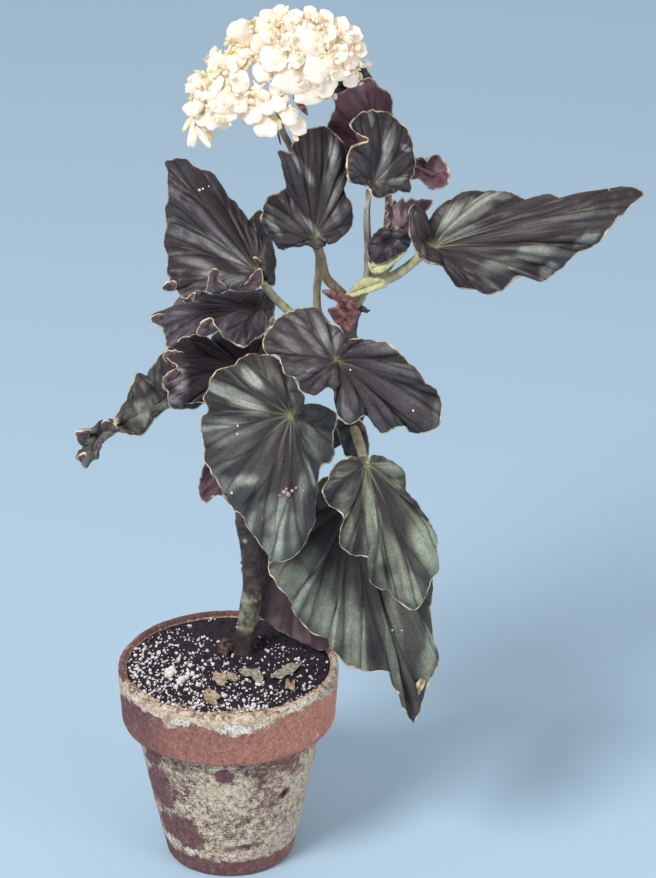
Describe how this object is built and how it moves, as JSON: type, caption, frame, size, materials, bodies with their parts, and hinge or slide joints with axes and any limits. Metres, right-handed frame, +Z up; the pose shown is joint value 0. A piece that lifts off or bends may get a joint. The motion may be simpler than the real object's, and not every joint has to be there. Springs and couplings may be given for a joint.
{
  "type": "potted begonia",
  "caption": "A begonia with dark ruffled cream-edged leaves and a head of white flowers, rooted in a tapered clay pot that stands on any level surface.",
  "frame": {"origin": "centre of the pot's flat underside, on the surface that the pot stands on", "axes": "+Z up along the pot's axis; the plant leans towards +X; the pictured side faces -Y"},
  "size_m": [0.2689, 0.1329, 0.4574],
  "materials": {
    "clay": "unglazed fired clay, whitened by lime in patches",
    "potting_mix": "dark loose potting mix with white grains",
    "perlite": "white porous grains",
    "stem": "dull grey-green skin with brown scars",
    "stalk": "pale green, slightly hairy",
    "leaf": "bronze black-green with a pale sheen and a cream margin",
    "leaf_underside": "matt maroon",
    "petal": "white, thin and translucent",
    "dry": "dry papery scraps"
  },
  "bodies": {
    "root": {"clay_pot": "clay", "dry_scrap_tan": "dry", "flower_stalk": "stalk", "flowers_crown": "petal", "flowers_front": "petal", "flowers_hanging": "petal", "flowers_inner_left": "petal", "flowers_left_crown": "petal", "flowers_left_front": "petal", "flowers_left_hanging": "petal", "flowers_left_outer": "petal", "flowers_left_upper": "petal", "flowers_low": "petal", "flowers_lower_front": "petal", "flowers_middle": "petal", "flowers_peak": "petal", "flowers_right_edge": "petal", "leaf_behind_flowers": "leaf", "leaf_behind_left": "leaf_underside", "leaf_behind_stem": "leaf_underside", "leaf_centre_right": "leaf", "leaf_front_large": "leaf", "leaf_inner_left": "leaf", "leaf_left_long": "leaf", "leaf_lower_right": "leaf", "leaf_lowest": "leaf", "leaf_middle_left": "leaf", "leaf_right_long": "leaf", "leaf_small_inner": "leaf", "leaf_top_folded": "leaf_underside", "leaf_top_right": "leaf", "leaf_upper_centre": "leaf", "leaf_upper_left": "leaf", "leaf_young_back": "leaf_underside", "leaf_young_front": "leaf", "main_stem": "stem", "perlite_clump_1": "perlite", "perlite_clump_2": "perlite", "potting_mix": "potting_mix", "stalk_behind_flowers": "stalk", "stalk_behind_left": "stalk", "stalk_behind_stem": "stalk", "stalk_centre_right": "stalk", "stalk_front_large": "stalk", "stalk_inner_left": "stalk", "stalk_left_long": "stalk", "stalk_lower_right": "stalk", "stalk_lowest": "stalk", "stalk_middle_left": "stalk", "stalk_right_long": "stalk", "stalk_top_folded": "stalk", "stalk_top_right": "stalk", "stalk_upper_centre": "stalk", "stalk_upper_left": "stalk", "stalk_young_back": "stalk", "stalk_young_front": "stalk", "stem_tip": "stalk", "stipule_brown": "dry", "stipule_pale": "stalk", "stipule_pale_upper": "stalk"}
  },
  "joints": []
}
